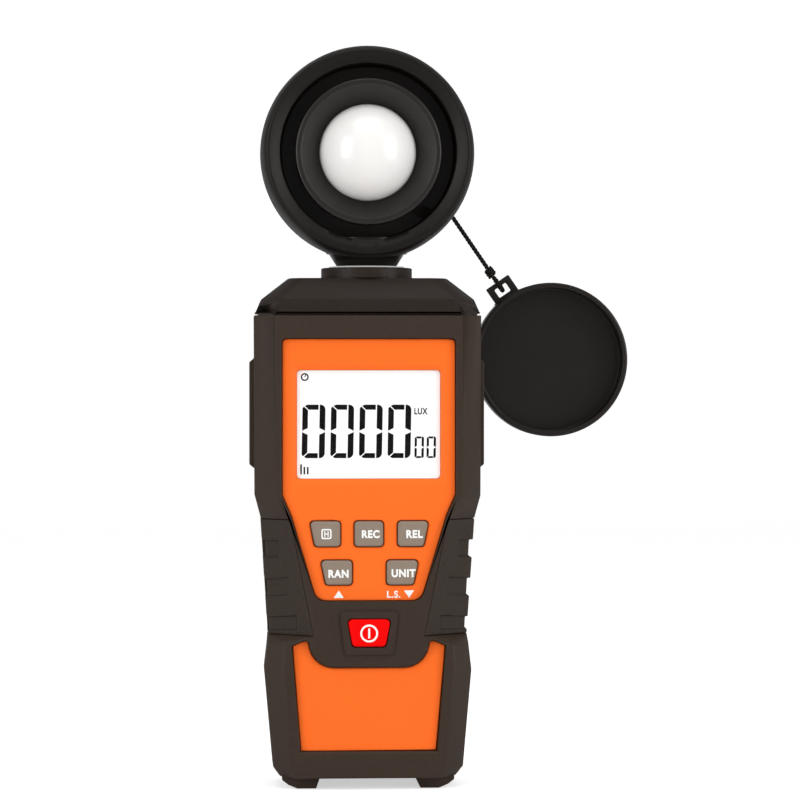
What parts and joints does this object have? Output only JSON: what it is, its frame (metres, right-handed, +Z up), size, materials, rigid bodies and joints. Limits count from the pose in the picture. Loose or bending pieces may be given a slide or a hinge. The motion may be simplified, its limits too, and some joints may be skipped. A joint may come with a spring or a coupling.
{
  "type": "light meter",
  "caption": "Hand-held light meter with a swivelling round sensor head, display, keys, battery door and a lens cap on a cord.",
  "frame": {"origin": "on the plane under the feet, below the head's swivel axis", "axes": "+Z up along the swivel axis, the display faces -Y, +X is the viewer's right"},
  "size_m": [0.1039, 0.0391, 0.1984],
  "materials": {
    "body_black": "fine bead-blasted black plastic",
    "top_black": "fine bead-blasted black plastic, a little darker",
    "grip_rubber": "soft matte rubber",
    "head_black": "satin black plastic",
    "panel_orange": "smooth satin orange overlay with white legends",
    "key_grey": "matte grey key",
    "key_red": "matte red key with a white power symbol",
    "window_clear": "clear acrylic window",
    "lcd_pale": "pale display glass with dark segments",
    "dome_white": "white translucent diffuser",
    "inner_white": "white moulding",
    "inner_dark": "dark moulding",
    "board_green": "solder-masked glass-fibre board",
    "steel": "plated steel",
    "cell_sleeve": "plain printed battery sleeve",
    "filter_green": "photometric filter glass",
    "cord_black": "braided black cord",
    "wire_red": "insulated lead"
  },
  "bodies": {
    "case": {"front_case": "body_black", "rear_case": "body_black", "top_cap": "top_black", "grip_left": "grip_rubber", "grip_right": "grip_rubber", "upper_panel": "panel_orange", "lower_panel": "panel_orange", "lcd_window": "window_clear", "lcd_glass": "lcd_pale", "lcd_reflector": "inner_white", "lcd_holder": "inner_dark", "contact_strip": "inner_dark", "main_board": "board_green", "board_chips": "inner_dark", "key_switches": "inner_dark", "batteries": "cell_sleeve", "battery_springs": "steel", "battery_contacts": "steel", "battery_wires": "wire_red", "case_screws": "steel", "board_screws": "steel", "cap_screws": "steel", "swivel_washer": "inner_white", "spring_washer": "steel", "cable_plug": "inner_white"},
    "sensor_head": {"swivel_neck": "top_black", "retaining_ring": "steel", "neck_screws": "steel", "sensor_cable": "inner_dark", "head_front": "head_black", "head_back": "head_black", "head_screws": "steel", "dome_ring": "head_black", "diffuser_dome": "dome_white", "dome_gasket": "grip_rubber", "sensor_holder": "inner_dark", "photo_filter": "filter_green", "photodiode": "steel", "sensor_board": "board_green", "sensor_screws": "steel", "cord_post": "head_black"},
    "lens_cap_on_cord": {"lens_cap": "head_black", "cord_loop": "cord_black", "cap_cord": "cord_black", "cord_knot": "cord_black"},
    "battery_door": {"battery_door": "body_black", "door_screw": "steel"},
    "key_hold": {"key_hold": "key_grey"},
    "key_record": {"key_record": "key_grey"},
    "key_relative": {"key_relative": "key_grey"},
    "key_range": {"key_range": "key_grey"},
    "key_unit": {"key_unit": "key_grey"},
    "key_power": {"key_power": "key_red"}
  },
  "joints": [
    {"name": "head_swivel", "type": "hinge", "parent": "case", "child": "sensor_head", "pos_m": [0, 0, 0.1394], "axis": [0, 0, 1], "range_deg": [-90, 180]},
    {"name": "cap_swing", "type": "hinge", "parent": "sensor_head", "child": "lens_cap_on_cord", "pos_m": [0.0145, 0.0156, 0.168], "axis": [0, -1, 0], "range_deg": [0, 120]},
    {"name": "battery_door_hinge", "type": "hinge", "parent": "case", "child": "battery_door", "pos_m": [0, 0.0145, 0.071], "axis": [1, 0, 0], "range_deg": [0, 60]},
    {"name": "key_hold_press", "type": "slide", "parent": "case", "child": "key_hold", "axis": [0, 1, 0], "range_m": [0, 0.0008], "stiffness_N_per_m": 1500, "springref_m": -0.0002},
    {"name": "key_record_press", "type": "slide", "parent": "case", "child": "key_record", "axis": [0, 1, 0], "range_m": [0, 0.0008], "stiffness_N_per_m": 1500, "springref_m": -0.0002},
    {"name": "key_relative_press", "type": "slide", "parent": "case", "child": "key_relative", "axis": [0, 1, 0], "range_m": [0, 0.0008], "stiffness_N_per_m": 1500, "springref_m": -0.0002},
    {"name": "key_range_press", "type": "slide", "parent": "case", "child": "key_range", "axis": [0, 1, 0], "range_m": [0, 0.0008], "stiffness_N_per_m": 1500, "springref_m": -0.0002},
    {"name": "key_unit_press", "type": "slide", "parent": "case", "child": "key_unit", "axis": [0, 1, 0], "range_m": [0, 0.0008], "stiffness_N_per_m": 1500, "springref_m": -0.0002},
    {"name": "key_power_press", "type": "slide", "parent": "case", "child": "key_power", "axis": [0, 1, 0], "range_m": [0, 0.0008], "stiffness_N_per_m": 1500, "springref_m": -0.0002}
  ]
}
